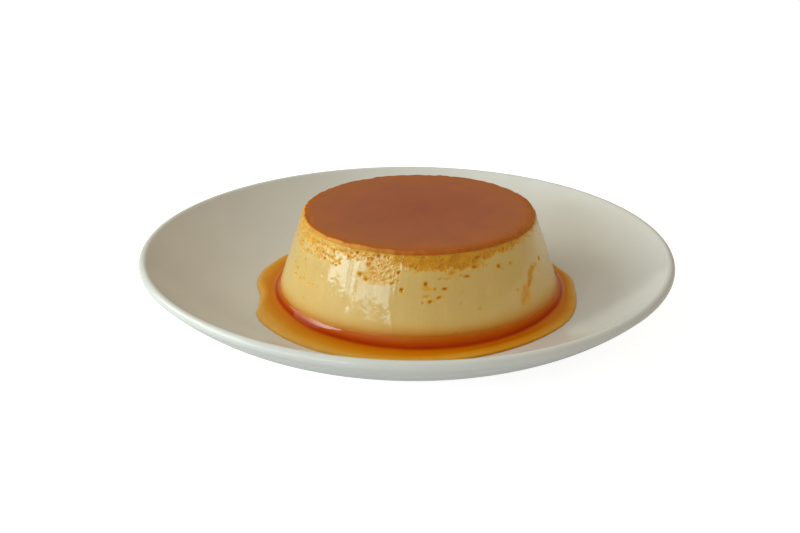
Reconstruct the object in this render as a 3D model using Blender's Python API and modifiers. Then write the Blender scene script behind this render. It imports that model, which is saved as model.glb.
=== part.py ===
"""Caramel pudding on its dish: a baked custard turned out of a round mould onto a white plate.

A layer of soft caramel lies on the custard and a pool of thin caramel sauce surrounds its foot.
Sizes are in metres and +Z is up. The plate stands on Z = 0 with its outline centred on X = Y = 0,
and the side that is seen first faces -Y.
"""

import math
import random

import bmesh
import bpy
from mathutils import Euler, Matrix, Vector, noise

# Clearance between solids that touch
GAP = 0.0003

# Plate: a shallow coupe whose well runs in one curve from its flat floor up to the lip
RIM_RADIUS = 0.0892
RIM_HEIGHT = 0.0245
LIP_THICKNESS = 0.0031
LIP_SLOPE = 45.0
FLOOR_RADIUS = 0.0480
FLOOR_HEIGHT = 0.0066
FOOT_RADIUS = 0.0480
FOOT_WIDTH = 0.0036
FOOT_HEIGHT = 0.0026
FOOT_ROUNDING = 0.0006
# Lobes of the slightly uneven rim: how many, their height, and where the first one points
RIM_LOBES = ((2, 0.00018, -36.0), (3, 0.00047, -56.0))
# The rim isn't quite level: how much it rises on its high side, and where that side is
RIM_RISE = 0.00067
RIM_HIGH_SIDE = -141.0
# Long shallow dip of the rim's crest: its depth, the direction of its middle and its reach to each side
RIM_DIP = 0.0011
RIM_DIP_SIDE = -80.0
RIM_DIP_REACH = 80.0

# Custard with its caramel layer: a low cone, turned out upside down from its mould
PUDDING_X = 0.0043
PUDDING_Y = -0.0009
PUDDING_FOOT_RADIUS = 0.0498
PUDDING_TOP_RADIUS = 0.0395
PUDDING_HEIGHT = 0.0302
LAYER_THICKNESS = 0.0015
LAYER_ROUNDING = 0.0007
FOOT_EDGE_ROUNDING = 0.0008
# Bulges and hollows of the soft side, and the size of the swells that make them
SIDE_WAVE = 0.00022
SIDE_WAVE_SIZE = 0.018
# Notches that the mould's edge left in the caramel layer
EDGE_WAVE = 0.00025
EDGE_WAVE_SIZE = 0.005

# Sauce: its level above the floor of the well, and how it climbs the custard
SAUCE_LEVEL = 0.0023
MENISCUS_RISE = 0.0024
MENISCUS_REACH = 0.0032
SAUCE_FILM = 0.0004
SAUCE_EDGE_ROUNDING = 0.0024
# Edge of the pool: direction in degrees (0 is +X, -90 the front) and distance from the custard's axis
POOL_EDGE = (
    (-174.0, 0.0555), (-165.0, 0.0564), (-156.0, 0.0588), (-143.0, 0.0590), (-126.0, 0.0592),
    (-95.0, 0.0590), (-64.0, 0.0569), (-48.0, 0.0565), (-29.0, 0.0565), (-11.0, 0.0551),
    (-2.0, 0.0547), (10.0, 0.0553), (23.0, 0.0537), (60.0, 0.0540), (100.0, 0.0550),
    (135.0, 0.0577), (163.0, 0.0588), (174.0, 0.0581),
)

# Groups of burst bubbles in the custard's side: the direction of the middle in degrees, its height
# above the floor, the spread both ways, and how many
BUBBLE_GROUPS = (
    (-97.0, 0.0184, 0.5, 0.0002, 1),
    (-83.5, 0.0172, 6.0, 0.0034, 9),
    (-70.0, 0.0224, 8.0, 0.0012, 5),
    (-49.0, 0.0226, 5.0, 0.0006, 3),
    (-24.0, 0.0200, 4.0, 0.0016, 3),
    (-45.5, 0.0126, 2.0, 0.0010, 1),
    (-68.0, 0.0124, 6.0, 0.0012, 2),
    (-107.0, 0.0215, 8.0, 0.0030, 9),
    (-150.0, 0.0160, 9.0, 0.0036, 8),
    (160.0, 0.0190, 12.0, 0.0040, 5),
    (80.0, 0.0200, 35.0, 0.0050, 7),
)
BUBBLE_WIDTH = 0.0019
BUBBLE_HEIGHT = 0.0011
BUBBLE_DEPTH = 0.0009
BUBBLE_SMALLEST = 0.7
BUBBLE_LARGEST = 1.25
# Least distance between two bubbles, in bubble widths and heights
BUBBLE_SPACING = 1.5
BUBBLE_TRIES = 200
# Slanting crease in the side: where its upper and lower ends are, and its width and depth
CREASE_TOP = (-32.5, 0.0180)
CREASE_FOOT = (-42.5, 0.0100)
CREASE_WIDTH = 0.0022
CREASE_DEPTH = 0.0009

SHARP_ANGLE = math.radians(30.0)
# How finely the round shapes are divided
TURN_STEPS = 72
WELL_STEPS = 8
LIP_STEPS = 5
OUTSIDE_STEPS = 6
SIDE_STEPS = 7
ROUNDING_STEPS = 3
MENISCUS_STEPS = 4
POOL_EDGE_SHARES = (0.0, 0.55, 0.85, 1.0)
POOL_BED_SHARES = (0.0, 0.35, 0.7, 1.0)
SEED = 11


def new_collection(name):
    collection = bpy.data.collections.new(name)
    bpy.context.scene.collection.children.link(collection)
    return collection


def new_material(name, colour, roughness):
    material = bpy.data.materials.new(name)
    material.use_nodes = True
    shader = material.node_tree.nodes["Principled BSDF"]
    shader.inputs["Base Color"].default_value = (*colour, 1.0)
    shader.inputs["Roughness"].default_value = roughness
    shader.inputs["Metallic"].default_value = 0.0
    return material


def turned(name, profile, collection):
    """Turn a profile of (radius, height) points round Z; it runs down its outer side from the top."""
    mesh = bpy.data.meshes.new(name)
    edges = [(i, i + 1) for i in range(len(profile) - 1)]
    mesh.from_pydata([(radius, 0.0, height) for radius, height in profile], edges, [])
    part = bpy.data.objects.new(name, mesh)
    collection.objects.link(part)
    screw = part.modifiers.new("Turn", "SCREW")
    screw.axis = "Z"
    screw.angle = math.tau
    screw.steps = TURN_STEPS
    screw.render_steps = TURN_STEPS
    screw.use_merge_vertices = True
    screw.merge_threshold = 0.00001
    screw.use_smooth_shade = True
    return part


def carry_out(part):
    """Give the part the mesh that its modifiers make."""
    graph = bpy.context.evaluated_depsgraph_get()
    part.data = bpy.data.meshes.new_from_object(part.evaluated_get(graph))
    part.modifiers.clear()


def reshape(part, move):
    """Carry out the part's modifiers and move each point of the mesh by the function."""
    carry_out(part)
    for vertex in part.data.vertices:
        vertex.co = move(vertex.co.copy())
    part.data.update()


def rounded(centre, radius, start, end, steps):
    """Points of an arc in the profile plane, from one angle in degrees to another."""
    angles = [math.radians(start + (end - start) * i / steps) for i in range(steps + 1)]
    return [(centre[0] + radius * math.cos(a), centre[1] + radius * math.sin(a)) for a in angles]


def lip_edge():
    """Where the well's surface ends, half the lip's thickness inside and below the rim's crest."""
    slope = math.radians(LIP_SLOPE)
    half = LIP_THICKNESS / 2
    return RIM_RADIUS - half * math.sin(slope), RIM_HEIGHT - half * (1.0 - math.cos(slope))


def well_arc():
    """Radius and opening angle of the arc from the flat floor to the lip."""
    radius, height = lip_edge()
    run = radius - FLOOR_RADIUS
    angle = 2 * math.atan2(height - FLOOR_HEIGHT, run)
    return run / math.sin(angle), angle


def rim_share(radius):
    """How far a place is on the way from the foot to the rim, from 0 to 1."""
    return max(0.0, (radius - FOOT_RADIUS) / (RIM_RADIUS - FOOT_RADIUS))


def rim_lift(direction, share):
    """How far the rim stands out of level at a direction and a share of the way out to it."""
    rise = RIM_RISE * math.cos(direction - math.radians(RIM_HIGH_SIDE))
    turn = math.remainder(direction - math.radians(RIM_DIP_SIDE), math.tau)
    dip = math.cos(min(1.0, abs(turn) / math.radians(RIM_DIP_REACH)) * math.pi / 2) ** 2
    return rise * share - RIM_DIP * dip * share ** 3


def rim_widening(direction):
    """How far the rim stands out of round at a direction."""
    return sum(
        height * math.cos(lobes * (direction - math.radians(first))) for lobes, height, first in RIM_LOBES
    )


def well_height(x, y):
    """Height of the plate's upper surface."""
    arc_radius = well_arc()[0]
    radius = math.hypot(x, y)
    out = max(0.0, radius - FLOOR_RADIUS)
    curve = arc_radius - math.sqrt(arc_radius ** 2 - out ** 2)
    return FLOOR_HEIGHT + curve + rim_lift(math.atan2(y, x), rim_share(radius))


def plate_profile():
    arc_radius, angle = well_arc()
    centre = (FLOOR_RADIUS, FLOOR_HEIGHT + arc_radius)
    opening = math.degrees(angle)
    lip_middle = arc_radius + LIP_THICKNESS / 2
    lip_centre = (centre[0] + lip_middle * math.sin(angle), centre[1] - lip_middle * math.cos(angle))
    well = rounded(centre, arc_radius, -90.0, -90.0 + opening, WELL_STEPS)
    lip = rounded(lip_centre, LIP_THICKNESS / 2, 90.0 + opening, -90.0 + opening, LIP_STEPS)
    outer_radius = arc_radius + LIP_THICKNESS
    foot_angle = math.degrees(math.asin((FOOT_RADIUS + FOOT_HEIGHT - FLOOR_RADIUS) / outer_radius))
    outside = rounded(centre, outer_radius, -90.0 + opening, -90.0 + foot_angle, OUTSIDE_STEPS)
    foot_inside = FOOT_RADIUS - FOOT_WIDTH
    foot = [
        (FOOT_RADIUS, FOOT_ROUNDING),
        (FOOT_RADIUS - FOOT_ROUNDING, 0.0),
        (foot_inside + FOOT_ROUNDING, 0.0),
        (foot_inside, FOOT_ROUNDING),
        (foot_inside - FOOT_ROUNDING, FOOT_HEIGHT),
        (0.0, FOOT_HEIGHT),
    ]
    return [(0.0, FLOOR_HEIGHT)] + well + lip[1:-1] + outside + foot


def rim_centre():
    """Middle of the uneven rim's extent along X and Y."""
    outer = RIM_RADIUS + LIP_THICKNESS / 2
    xs = []
    ys = []
    for step in range(TURN_STEPS):
        direction = math.tau * step / TURN_STEPS
        reach = outer + rim_widening(direction)
        xs.append(reach * math.cos(direction))
        ys.append(reach * math.sin(direction))
    return (min(xs) + max(xs)) / 2, (min(ys) + max(ys)) / 2


def make_plate(collection):
    plate = turned("plate", plate_profile(), collection)
    shift_x, shift_y = rim_centre()

    def hand_finished(point):
        """Bring the turned shape a little out of round and out of level towards the rim."""
        direction = math.atan2(point.y, point.x)
        share = rim_share(math.hypot(point.x, point.y))
        out = rim_widening(direction)
        point.x += (out * math.cos(direction) - shift_x) * share
        point.y += (out * math.sin(direction) - shift_y) * share
        point.z += rim_lift(direction, share)
        return point

    reshape(plate, hand_finished)
    plate.data.materials.append(new_material("white porcelain glaze", (0.78, 0.78, 0.74), 0.15))
    return plate


def side_radius(height, direction):
    """Distance of the pudding's side from its axis at a height above the floor."""
    share = height / PUDDING_HEIGHT
    cone = PUDDING_FOOT_RADIUS + (PUDDING_TOP_RADIUS - PUDDING_FOOT_RADIUS) * share
    place = Vector((cone * math.cos(direction), cone * math.sin(direction), height)) / SIDE_WAVE_SIZE
    return cone + SIDE_WAVE * noise.noise(place)


def custard_profile():
    """Half section of an upright drum: its radius is a share of the side's, its height the true one."""
    top = PUDDING_HEIGHT - LAYER_THICKNESS - GAP
    inset = FOOT_EDGE_ROUNDING
    side = [(PUDDING_TOP_RADIUS, top + (inset - top) * row / SIDE_STEPS) for row in range(SIDE_STEPS + 1)]
    return [(0.0, top), (PUDDING_TOP_RADIUS / 2, top)] + side + [
        (PUDDING_TOP_RADIUS - inset, 0.0),
        (PUDDING_TOP_RADIUS / 2, 0.0),
        (0.0, 0.0),
    ]


def on_the_plate(point):
    """Place a pudding point in the world and lift it clear of the well."""
    x = point.x + PUDDING_X
    y = point.y + PUDDING_Y
    return Vector((x, y, max(point.z + FLOOR_HEIGHT, well_height(x, y)) + GAP))


def lean(point):
    """Widen the upright drum to the cone of the mould, with the side's soft unevenness."""
    direction = math.atan2(point.y, point.x)
    scale = side_radius(point.z, direction) / PUDDING_TOP_RADIUS
    return on_the_plate(Vector((point.x * scale, point.y * scale, point.z)))


def side_frame(direction, height):
    """Point on the pudding's side with axes along the side, up the side and out of it."""
    lean_angle = math.atan2(PUDDING_FOOT_RADIUS - PUDDING_TOP_RADIUS, PUDDING_HEIGHT)
    turn = Euler((-lean_angle, 0.0, direction + math.pi / 2)).to_matrix().to_4x4()
    radius = side_radius(height, direction)
    point = Vector((radius * math.cos(direction), radius * math.sin(direction), height))
    return Matrix.Translation(on_the_plate(point)) @ turn


def bubble_places():
    """Directions, heights and sizes of the burst bubbles, kept clear of each other."""
    draw = random.Random(SEED)
    places = []
    for middle, height, spread, height_spread, count in BUBBLE_GROUPS:
        wanted = len(places) + count
        for _ in range(BUBBLE_TRIES):
            direction = math.radians(middle + spread * draw.uniform(-1.0, 1.0))
            level = height + height_spread * draw.uniform(-1.0, 1.0)
            size = draw.uniform(BUBBLE_SMALLEST, BUBBLE_LARGEST)
            clear = all(
                math.hypot(
                    (direction - other) * PUDDING_TOP_RADIUS / BUBBLE_WIDTH, (level - up) / BUBBLE_HEIGHT
                ) > BUBBLE_SPACING
                for other, up, _ in places
            )
            if clear and len(places) < wanted:
                places.append((direction, level, size))
    return places


def make_pit_cutter(collection):
    """One cutter mesh with the burst bubbles and the slanting crease."""
    mesh = bpy.data.meshes.new("pits")
    shapes = bmesh.new()
    for direction, level, size in bubble_places():
        stretch = Matrix.Diagonal((BUBBLE_WIDTH / 2, BUBBLE_DEPTH, BUBBLE_HEIGHT / 2, 1.0)) * size
        stretch[3][3] = 1.0
        bmesh.ops.create_icosphere(
            shapes, subdivisions=1, radius=1.0, matrix=side_frame(direction, level) @ stretch
        )
    top_direction, top_height = math.radians(CREASE_TOP[0]), CREASE_TOP[1]
    foot_direction, foot_height = math.radians(CREASE_FOOT[0]), CREASE_FOOT[1]
    rise = top_height - foot_height
    along = (top_direction - foot_direction) * PUDDING_FOOT_RADIUS
    length = math.hypot(rise, along)
    slant = Matrix.Rotation(math.atan2(along, rise), 4, "Y")
    middle = side_frame((top_direction + foot_direction) / 2, (top_height + foot_height) / 2)
    stretch = Matrix.Diagonal((CREASE_WIDTH / 2, CREASE_DEPTH, length / 2, 1.0))
    bmesh.ops.create_icosphere(shapes, subdivisions=2, radius=1.0, matrix=middle @ slant @ stretch)
    shapes.to_mesh(mesh)
    shapes.free()
    cutter = bpy.data.objects.new("pits", mesh)
    collection.objects.link(cutter)
    cutter.hide_render = True
    cutter.display_type = "WIRE"
    return cutter


def make_custard(collection, cutters):
    custard = turned("custard", custard_profile(), collection)
    reshape(custard, lean)
    cut = custard.modifiers.new("Pits", "BOOLEAN")
    cut.operation = "DIFFERENCE"
    cut.solver = "EXACT"
    cut.object = make_pit_cutter(cutters)
    carry_out(custard)
    custard.data.set_sharp_from_angle(angle=SHARP_ANGLE)
    custard.data.materials.append(new_material("baked custard", (0.56, 0.41, 0.17), 0.35))
    return custard


def layer_profile():
    bottom = PUDDING_HEIGHT - LAYER_THICKNESS
    edge = (PUDDING_TOP_RADIUS - LAYER_ROUNDING, PUDDING_HEIGHT - LAYER_ROUNDING)
    return (
        [(0.0, PUDDING_HEIGHT), (PUDDING_TOP_RADIUS / 2, PUDDING_HEIGHT)]
        + rounded(edge, LAYER_ROUNDING, 90.0, 0.0, ROUNDING_STEPS)
        + [(PUDDING_TOP_RADIUS, bottom), (PUDDING_TOP_RADIUS / 2, bottom), (0.0, bottom)]
    )


def make_caramel_layer(collection):
    layer = turned("caramel_layer", layer_profile(), collection)

    def ragged(point):
        """Follow the side below, with small notches along the edge."""
        direction = math.atan2(point.y, point.x)
        radius = math.hypot(point.x, point.y)
        place = Vector((math.cos(direction), math.sin(direction), 0.0)) * PUDDING_TOP_RADIUS / EDGE_WAVE_SIZE
        notch = EDGE_WAVE * noise.noise(place) * (radius / PUDDING_TOP_RADIUS) ** 4
        scale = (side_radius(point.z, direction) + notch) / PUDDING_TOP_RADIUS
        return on_the_plate(Vector((point.x * scale, point.y * scale, point.z)))

    reshape(layer, ragged)
    layer.data.materials.append(new_material("soft caramel layer", (0.27, 0.09, 0.045), 0.3))
    return layer


def pool_reach(direction):
    """Distance from the pudding's axis to the pool's edge, on a smooth closed curve through POOL_EDGE."""
    degrees = (math.degrees(direction) + 180.0) % 360.0 - 180.0
    count = len(POOL_EDGE)
    after = next((i for i, (angle, _) in enumerate(POOL_EDGE) if angle > degrees), 0)
    near = [POOL_EDGE[(after + offset) % count] for offset in (-2, -1, 0, 1)]
    span = (near[2][0] - near[1][0]) % 360.0
    share = ((degrees - near[1][0]) % 360.0) / span
    reaches = [reach for _, reach in near]
    slope_in = (reaches[2] - reaches[0]) * span / ((near[2][0] - near[0][0]) % 360.0)
    slope_out = (reaches[3] - reaches[1]) * span / ((near[3][0] - near[1][0]) % 360.0)
    square = share * share
    cube = square * share
    return (
        (2 * cube - 3 * square + 1) * reaches[1]
        + (cube - 2 * square + share) * slope_in
        + (3 * square - 2 * cube) * reaches[2]
        + (cube - square) * slope_out
    )


def sauce_section(direction):
    """Closed section of the sauce, from the top of the meniscus out to the edge and back underneath."""
    def world(distance, height):
        x = PUDDING_X + distance * math.cos(direction)
        y = PUDDING_Y + distance * math.sin(direction)
        return Vector((x, y, height))

    def bed(distance):
        at = world(distance, 0.0)
        return well_height(at.x, at.y) + GAP

    edge = pool_reach(direction)
    level = FLOOR_HEIGHT + SAUCE_LEVEL
    section = []
    for step in range(MENISCUS_STEPS + 1):
        share = step / MENISCUS_STEPS
        rise = MENISCUS_RISE * (1.0 - share) ** 2
        side = side_radius(SAUCE_LEVEL + rise, direction) + GAP + SAUCE_FILM
        section.append(world(side + MENISCUS_REACH * share, level + rise))
    for share in POOL_EDGE_SHARES:
        distance = edge + SAUCE_EDGE_ROUNDING * (share - 1.0)
        low = bed(distance) + SAUCE_FILM / 4
        section.append(world(distance, low + max(level - low, SAUCE_FILM) * math.sqrt(1.0 - share ** 2)))
    inner = side_radius(0.0, direction) + GAP
    outer = edge - SAUCE_FILM
    for share in POOL_BED_SHARES:
        distance = outer + (inner - outer) * share
        section.append(world(distance, bed(distance)))
    for share in (0.5, 1.0):
        height = (SAUCE_LEVEL + MENISCUS_RISE) * share
        section.append(world(side_radius(height, direction) + GAP, FLOOR_HEIGHT + height + GAP))
    return section


def make_sauce(collection):
    """Loft of the sections round the pudding; no two of them are alike."""
    shapes = bmesh.new()
    rings = []
    for step in range(TURN_STEPS):
        section = sauce_section(math.tau * step / TURN_STEPS)
        rings.append([shapes.verts.new(point) for point in section])
    points = len(rings[0])
    for index, ring in enumerate(rings):
        following = rings[(index + 1) % TURN_STEPS]
        for i in range(points):
            j = (i + 1) % points
            face = shapes.faces.new((ring[i], ring[j], following[j], following[i]))
            face.smooth = True
    bmesh.ops.recalc_face_normals(shapes, faces=shapes.faces)
    mesh = bpy.data.meshes.new("caramel_sauce")
    shapes.to_mesh(mesh)
    shapes.free()
    sauce = bpy.data.objects.new("caramel_sauce", mesh)
    collection.objects.link(sauce)
    sauce.data.materials.append(new_material("thin caramel sauce", (0.36, 0.11, 0.012), 0.06))
    return sauce


def main():
    for item in list(bpy.data.objects):
        bpy.data.objects.remove(item, do_unlink=True)
    pudding = new_collection("caramel pudding")
    cutters = new_collection("cutters")
    make_plate(pudding)
    make_custard(pudding, cutters)
    make_caramel_layer(pudding)
    make_sauce(pudding)


main()
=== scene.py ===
"""Caramel pudding on its dish, dressed for a plain studio.

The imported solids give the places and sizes. The fine shapes here repeat their values in metres, with
+Z up and the side that is seen first facing -Y.
"""

import math
import random

import bpy
from mathutils import Matrix, Vector, noise

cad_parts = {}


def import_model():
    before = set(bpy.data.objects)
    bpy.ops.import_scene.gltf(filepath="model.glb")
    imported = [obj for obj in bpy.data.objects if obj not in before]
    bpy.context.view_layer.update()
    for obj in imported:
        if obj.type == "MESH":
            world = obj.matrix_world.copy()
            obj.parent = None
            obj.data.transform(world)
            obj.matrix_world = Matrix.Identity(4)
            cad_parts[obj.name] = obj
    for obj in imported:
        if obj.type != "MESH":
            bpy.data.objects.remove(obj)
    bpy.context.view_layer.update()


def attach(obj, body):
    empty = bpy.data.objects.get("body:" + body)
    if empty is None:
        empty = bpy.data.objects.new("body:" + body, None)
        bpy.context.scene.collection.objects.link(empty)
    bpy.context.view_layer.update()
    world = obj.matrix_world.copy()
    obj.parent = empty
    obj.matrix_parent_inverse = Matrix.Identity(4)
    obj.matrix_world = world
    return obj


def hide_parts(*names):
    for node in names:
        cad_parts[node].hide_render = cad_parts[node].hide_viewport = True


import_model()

# Plate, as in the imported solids
RIM_RADIUS = 0.0892
RIM_HEIGHT = 0.0245
LIP_THICKNESS = 0.0031
LIP_SLOPE = 45.0
FLOOR_RADIUS = 0.0480
FLOOR_HEIGHT = 0.0066
FOOT_RADIUS = 0.0480
FOOT_WIDTH = 0.0036
FOOT_HEIGHT = 0.0026
FOOT_ROUNDING = 0.0006
RIM_LOBES = ((2, 0.00018, -36.0), (3, 0.00047, -56.0))
RIM_RISE = 0.00067
RIM_HIGH_SIDE = -141.0
RIM_DIP = 0.0011
RIM_DIP_SIDE = -80.0
RIM_DIP_REACH = 80.0
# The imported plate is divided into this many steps, which set how it is centred
PACKED_STEPS = 72

# Custard and caramel layer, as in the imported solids
GAP = 0.0003
PUDDING_X = 0.0043
PUDDING_Y = -0.0009
PUDDING_FOOT_RADIUS = 0.0498
PUDDING_TOP_RADIUS = 0.0395
PUDDING_HEIGHT = 0.0302
LAYER_THICKNESS = 0.0015
LAYER_ROUNDING = 0.0007
FOOT_EDGE_ROUNDING = 0.0008
SIDE_WAVE = 0.00022
SIDE_WAVE_SIZE = 0.018
EDGE_WAVE = 0.00025
EDGE_WAVE_SIZE = 0.005
LAYER_BOTTOM = PUDDING_HEIGHT - LAYER_THICKNESS
SIDE_LEAN = math.atan2(PUDDING_FOOT_RADIUS - PUDDING_TOP_RADIUS, PUDDING_HEIGHT)

# Small nibbles in the ragged top edge: depth, how much deeper at the back, size round and up the side
NIBBLE_DEPTH = 0.00034
NIBBLE_VARIATION = 0.00010
NIBBLE_SIZE = 0.0021
NIBBLE_HEIGHT = 0.003
# Height from which the top edge is ragged, and how near the layer the side's relief fades out
RAGGED_FROM = 0.0255
RELIEF_FADE = 0.0005

# Sauce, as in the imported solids
SAUCE_LEVEL = 0.0023
MENISCUS_RISE = 0.0024
MENISCUS_REACH = 0.0032
SAUCE_FILM = 0.0004
SAUCE_EDGE_ROUNDING = 0.0024
# Edge of the pool: direction in degrees (0 is +X, -90 the front) and distance from the custard's axis
POOL_EDGE = (
    (-174.0, 0.0555), (-165.0, 0.0564), (-156.0, 0.0588), (-143.0, 0.0590), (-126.0, 0.0592),
    (-95.0, 0.0590), (-64.0, 0.0569), (-48.0, 0.0565), (-29.0, 0.0565), (-11.0, 0.0551),
    (-2.0, 0.0547), (10.0, 0.0553), (23.0, 0.0537), (60.0, 0.0540), (100.0, 0.0550),
    (135.0, 0.0577), (163.0, 0.0588), (174.0, 0.0581),
)

# How finely the pieces are divided
PLATE_TURNS = 288
FLOOR_STEPS = 10
WELL_STEPS = 34
LIP_STEPS = 14
OUTSIDE_STEPS = 26
FOOT_STEPS = 4
CUSTARD_TURNS = 960
CUSTARD_ROWS = 97
TEAR_STEPS = 30
LAYER_TURNS = 720
LAYER_RINGS = 44
LAYER_RING_SPACING = 0.8
LAYER_EDGE_STEPS = 7
SAUCE_TURNS = 480
CLIMB_STEPS = 16
POOL_STEPS = 5
POOL_EDGE_STEPS = 10
SEED = 23
# Share of a flat face's radius at which it has a ring of points
INNER_RING = 0.6

# One millimetre in metres, and the other way round
MM = 0.001
MM_IN_METRE = 1000.0

# Burst bubbles that show from the front: direction, height above the floor, width and height of the
# mouth in millimetres, slant in degrees, depth as a share of the usual, and how brown the hollow is
SEEN_BUBBLES = (
    (-96.9, 18.4, 1.5, 1.3, 35.0, 1.2, 0.95),
    (-86.9, 20.3, 1.6, 1.5, 30.0, 1.2, 1.00),
    (-86.2, 18.8, 3.0, 1.3, 5.0, 0.5, 0.45),
    (-83.0, 18.8, 1.3, 1.0, 0.0, 0.8, 0.60),
    (-79.2, 18.7, 1.8, 0.9, 0.0, 1.2, 1.00),
    (-86.8, 16.7, 2.8, 0.8, -4.0, 0.7, 0.55),
    (-81.6, 16.2, 2.1, 0.9, -12.0, 1.0, 0.85),
    (-85.2, 15.1, 1.9, 0.9, -4.0, 1.0, 0.95),
    (-88.3, 14.8, 0.9, 0.8, 0.0, 0.8, 0.70),
    (-81.0, 21.7, 1.6, 0.6, 0.0, 0.7, 0.60),
    (-77.4, 21.6, 3.6, 0.5, 0.0, 0.6, 0.55),
    (-69.1, 21.7, 2.2, 0.9, 4.0, 1.1, 0.95),
    (-71.8, 22.2, 1.4, 0.5, 8.0, 0.6, 0.60),
    (-75.6, 23.2, 2.4, 1.6, 0.0, 0.7, 0.65),
    (-69.6, 24.3, 2.8, 0.7, 0.0, 0.7, 0.65),
    (-64.9, 24.0, 2.3, 1.0, 6.0, 1.1, 0.95),
    (-62.8, 26.7, 2.4, 1.6, -10.0, 1.0, 0.95),
    (-59.6, 26.5, 1.3, 1.0, 0.0, 0.7, 0.75),
    (-65.0, 25.8, 1.2, 0.8, 0.0, 0.7, 0.75),
    (-53.5, 27.2, 1.3, 0.8, 0.0, 0.7, 0.80),
    (-48.4, 27.3, 1.2, 1.1, 0.0, 0.9, 0.90),
    (-45.6, 27.8, 1.3, 0.9, 0.0, 0.8, 0.80),
    (-42.7, 28.0, 1.9, 1.2, 0.0, 0.8, 0.85),
    (-53.0, 22.8, 1.7, 1.4, 20.0, 1.1, 0.95),
    (-46.0, 22.4, 1.3, 1.0, 0.0, 0.9, 0.70),
    (-51.1, 21.3, 0.7, 0.6, 0.0, 0.9, 0.40),
    (-24.0, 19.1, 1.5, 1.5, -25.0, 1.0, 0.80),
    (-17.7, 17.7, 0.9, 0.8, 0.0, 0.8, 0.60),
    (-45.2, 13.9, 1.5, 1.1, 0.0, 0.8, 0.45),
    (-72.9, 13.9, 1.1, 0.9, 0.0, 0.8, 0.00),
    (-65.2, 11.6, 1.2, 0.8, 0.0, 0.9, 0.45),
    (-75.7, 5.3, 1.5, 0.7, 0.0, 0.8, 0.80),
    (-59.2, 4.6, 1.7, 0.6, 0.0, 0.8, 0.80),
    (-98.4, 23.5, 1.5, 1.1, 0.0, 1.0, 1.00),
    (-115.6, 21.6, 2.0, 1.2, 10.0, 0.8, 1.00),
    (-112.8, 20.5, 1.6, 1.0, 10.0, 0.8, 0.95),
    (-112.3, 24.8, 1.8, 1.5, 30.0, 0.5, 0.90),
    (-110.9, 26.7, 2.0, 1.4, 30.0, 0.5, 0.95),
    (-107.9, 27.9, 1.7, 1.5, 0.0, 0.5, 1.00),
    (-109.6, 22.4, 1.6, 1.1, -20.0, 0.4, 0.70),
    (-104.6, 21.0, 1.8, 1.0, 10.0, 0.4, 0.60),
    (-118.4, 27.9, 2.2, 1.1, 0.0, 0.4, 0.85),
    (-124.6, 27.5, 1.8, 1.1, 0.0, 0.4, 0.80),
    (-131.4, 26.2, 2.0, 1.0, 20.0, 0.4, 0.75),
    (-92.6, 25.6, 1.8, 1.3, 0.0, 0.4, 0.80),
    (-159.0, 16.9, 1.1, 0.9, 0.0, 0.9, 0.75),
    (-154.1, 16.1, 1.0, 0.9, 0.0, 0.9, 0.70),
    (-149.3, 20.0, 0.9, 1.2, 0.0, 0.9, 0.70),
    (-153.5, 22.2, 1.1, 1.0, 30.0, 0.9, 0.60),
    (-155.0, 13.8, 1.5, 1.1, -20.0, 0.9, 0.65),
    (-149.7, 14.0, 1.2, 0.9, 0.0, 0.9, 0.60),
    (-146.7, 14.5, 1.0, 0.9, 0.0, 0.9, 0.65),
    (-142.5, 13.7, 1.0, 0.8, 0.0, 0.7, 0.40),
    (-143.7, 8.8, 1.0, 0.8, 0.0, 0.6, 0.35),
)
# Groups of burst bubbles on the sides that turn away: the direction of the middle, its height in
# millimetres, the spread both ways, and how many
FAR_BUBBLES = (
    (168.0, 19.0, 12.0, 4.0, 9),
    (128.0, 22.0, 14.0, 3.0, 10),
    (80.0, 20.0, 22.0, 5.0, 14),
    (30.0, 23.0, 16.0, 3.0, 8),
    (2.0, 16.0, 9.0, 5.0, 4),
    (104.0, 12.0, 20.0, 3.0, 4),
)
# Tiny bubbles: directions from and to, heights from and to in millimetres, how many, how brown
FINE_BUBBLES = (
    (-170.0, -126.0, 22.5, 28.5, 220, 0.75),
    (-165.0, -138.0, 12.0, 21.0, 26, 0.45),
    (-126.0, -98.0, 25.5, 28.6, 110, 0.75),
    (-113.0, -98.0, 20.0, 27.0, 60, 0.60),
    (-97.0, -58.0, 23.6, 28.6, 200, 0.50),
    (-58.0, -30.0, 26.4, 28.6, 60, 0.65),
    (-30.0, 30.0, 26.8, 28.6, 60, 0.60),
    (30.0, 150.0, 24.5, 28.6, 230, 0.55),
    (150.0, 190.0, 22.5, 28.6, 110, 0.55),
    (-180.0, 180.0, 9.0, 26.0, 70, 0.18),
)
BUBBLE_DEPTH = 0.00034
# Form of a bubble's mouth: its raggedness, then shares of its half width: how far it reaches, and the
# place, width and height of its swollen lip
MOUTH_RAGGEDNESS = 0.34
MOUTH_RAGGED_SIZE = 0.0006
MOUTH_SHIFT = 0.01
MOUTH_REACH = 2.0
MOUTH_LIP = 1.12
MOUTH_LIP_WIDTH = 0.2
MOUTH_LIP_HEIGHT = 0.14
# Brown of a mouth: where its core and its fainter halo begin to fade and end, and the halo's share
BROWN_CORE = (0.25, 1.4)
BROWN_HALO = (0.9, 1.9)
HALO_SHARE = 0.42
# Ranges that the far bubbles are drawn from: width, height as a share of it, slant, depth and brown
FAR_WIDTH = (0.0009, 0.0024)
FAR_FLATNESS = (0.4, 0.8)
FAR_SLANT = (-15.0, 15.0)
FAR_DEPTH = (0.6, 1.2)
FAR_BROWN = (0.45, 1.0)
# The same for the tiny ones, whose depth is a share of their width that grows with their brown
FINE_WIDTH = (0.0004, 0.0010)
FINE_FLATNESS = (0.6, 1.0)
FINE_SLANT = (-25.0, 25.0)
FINE_DEPTH = (0.05, 0.20)
FINE_BROWN = (0.3, 1.5)

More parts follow.
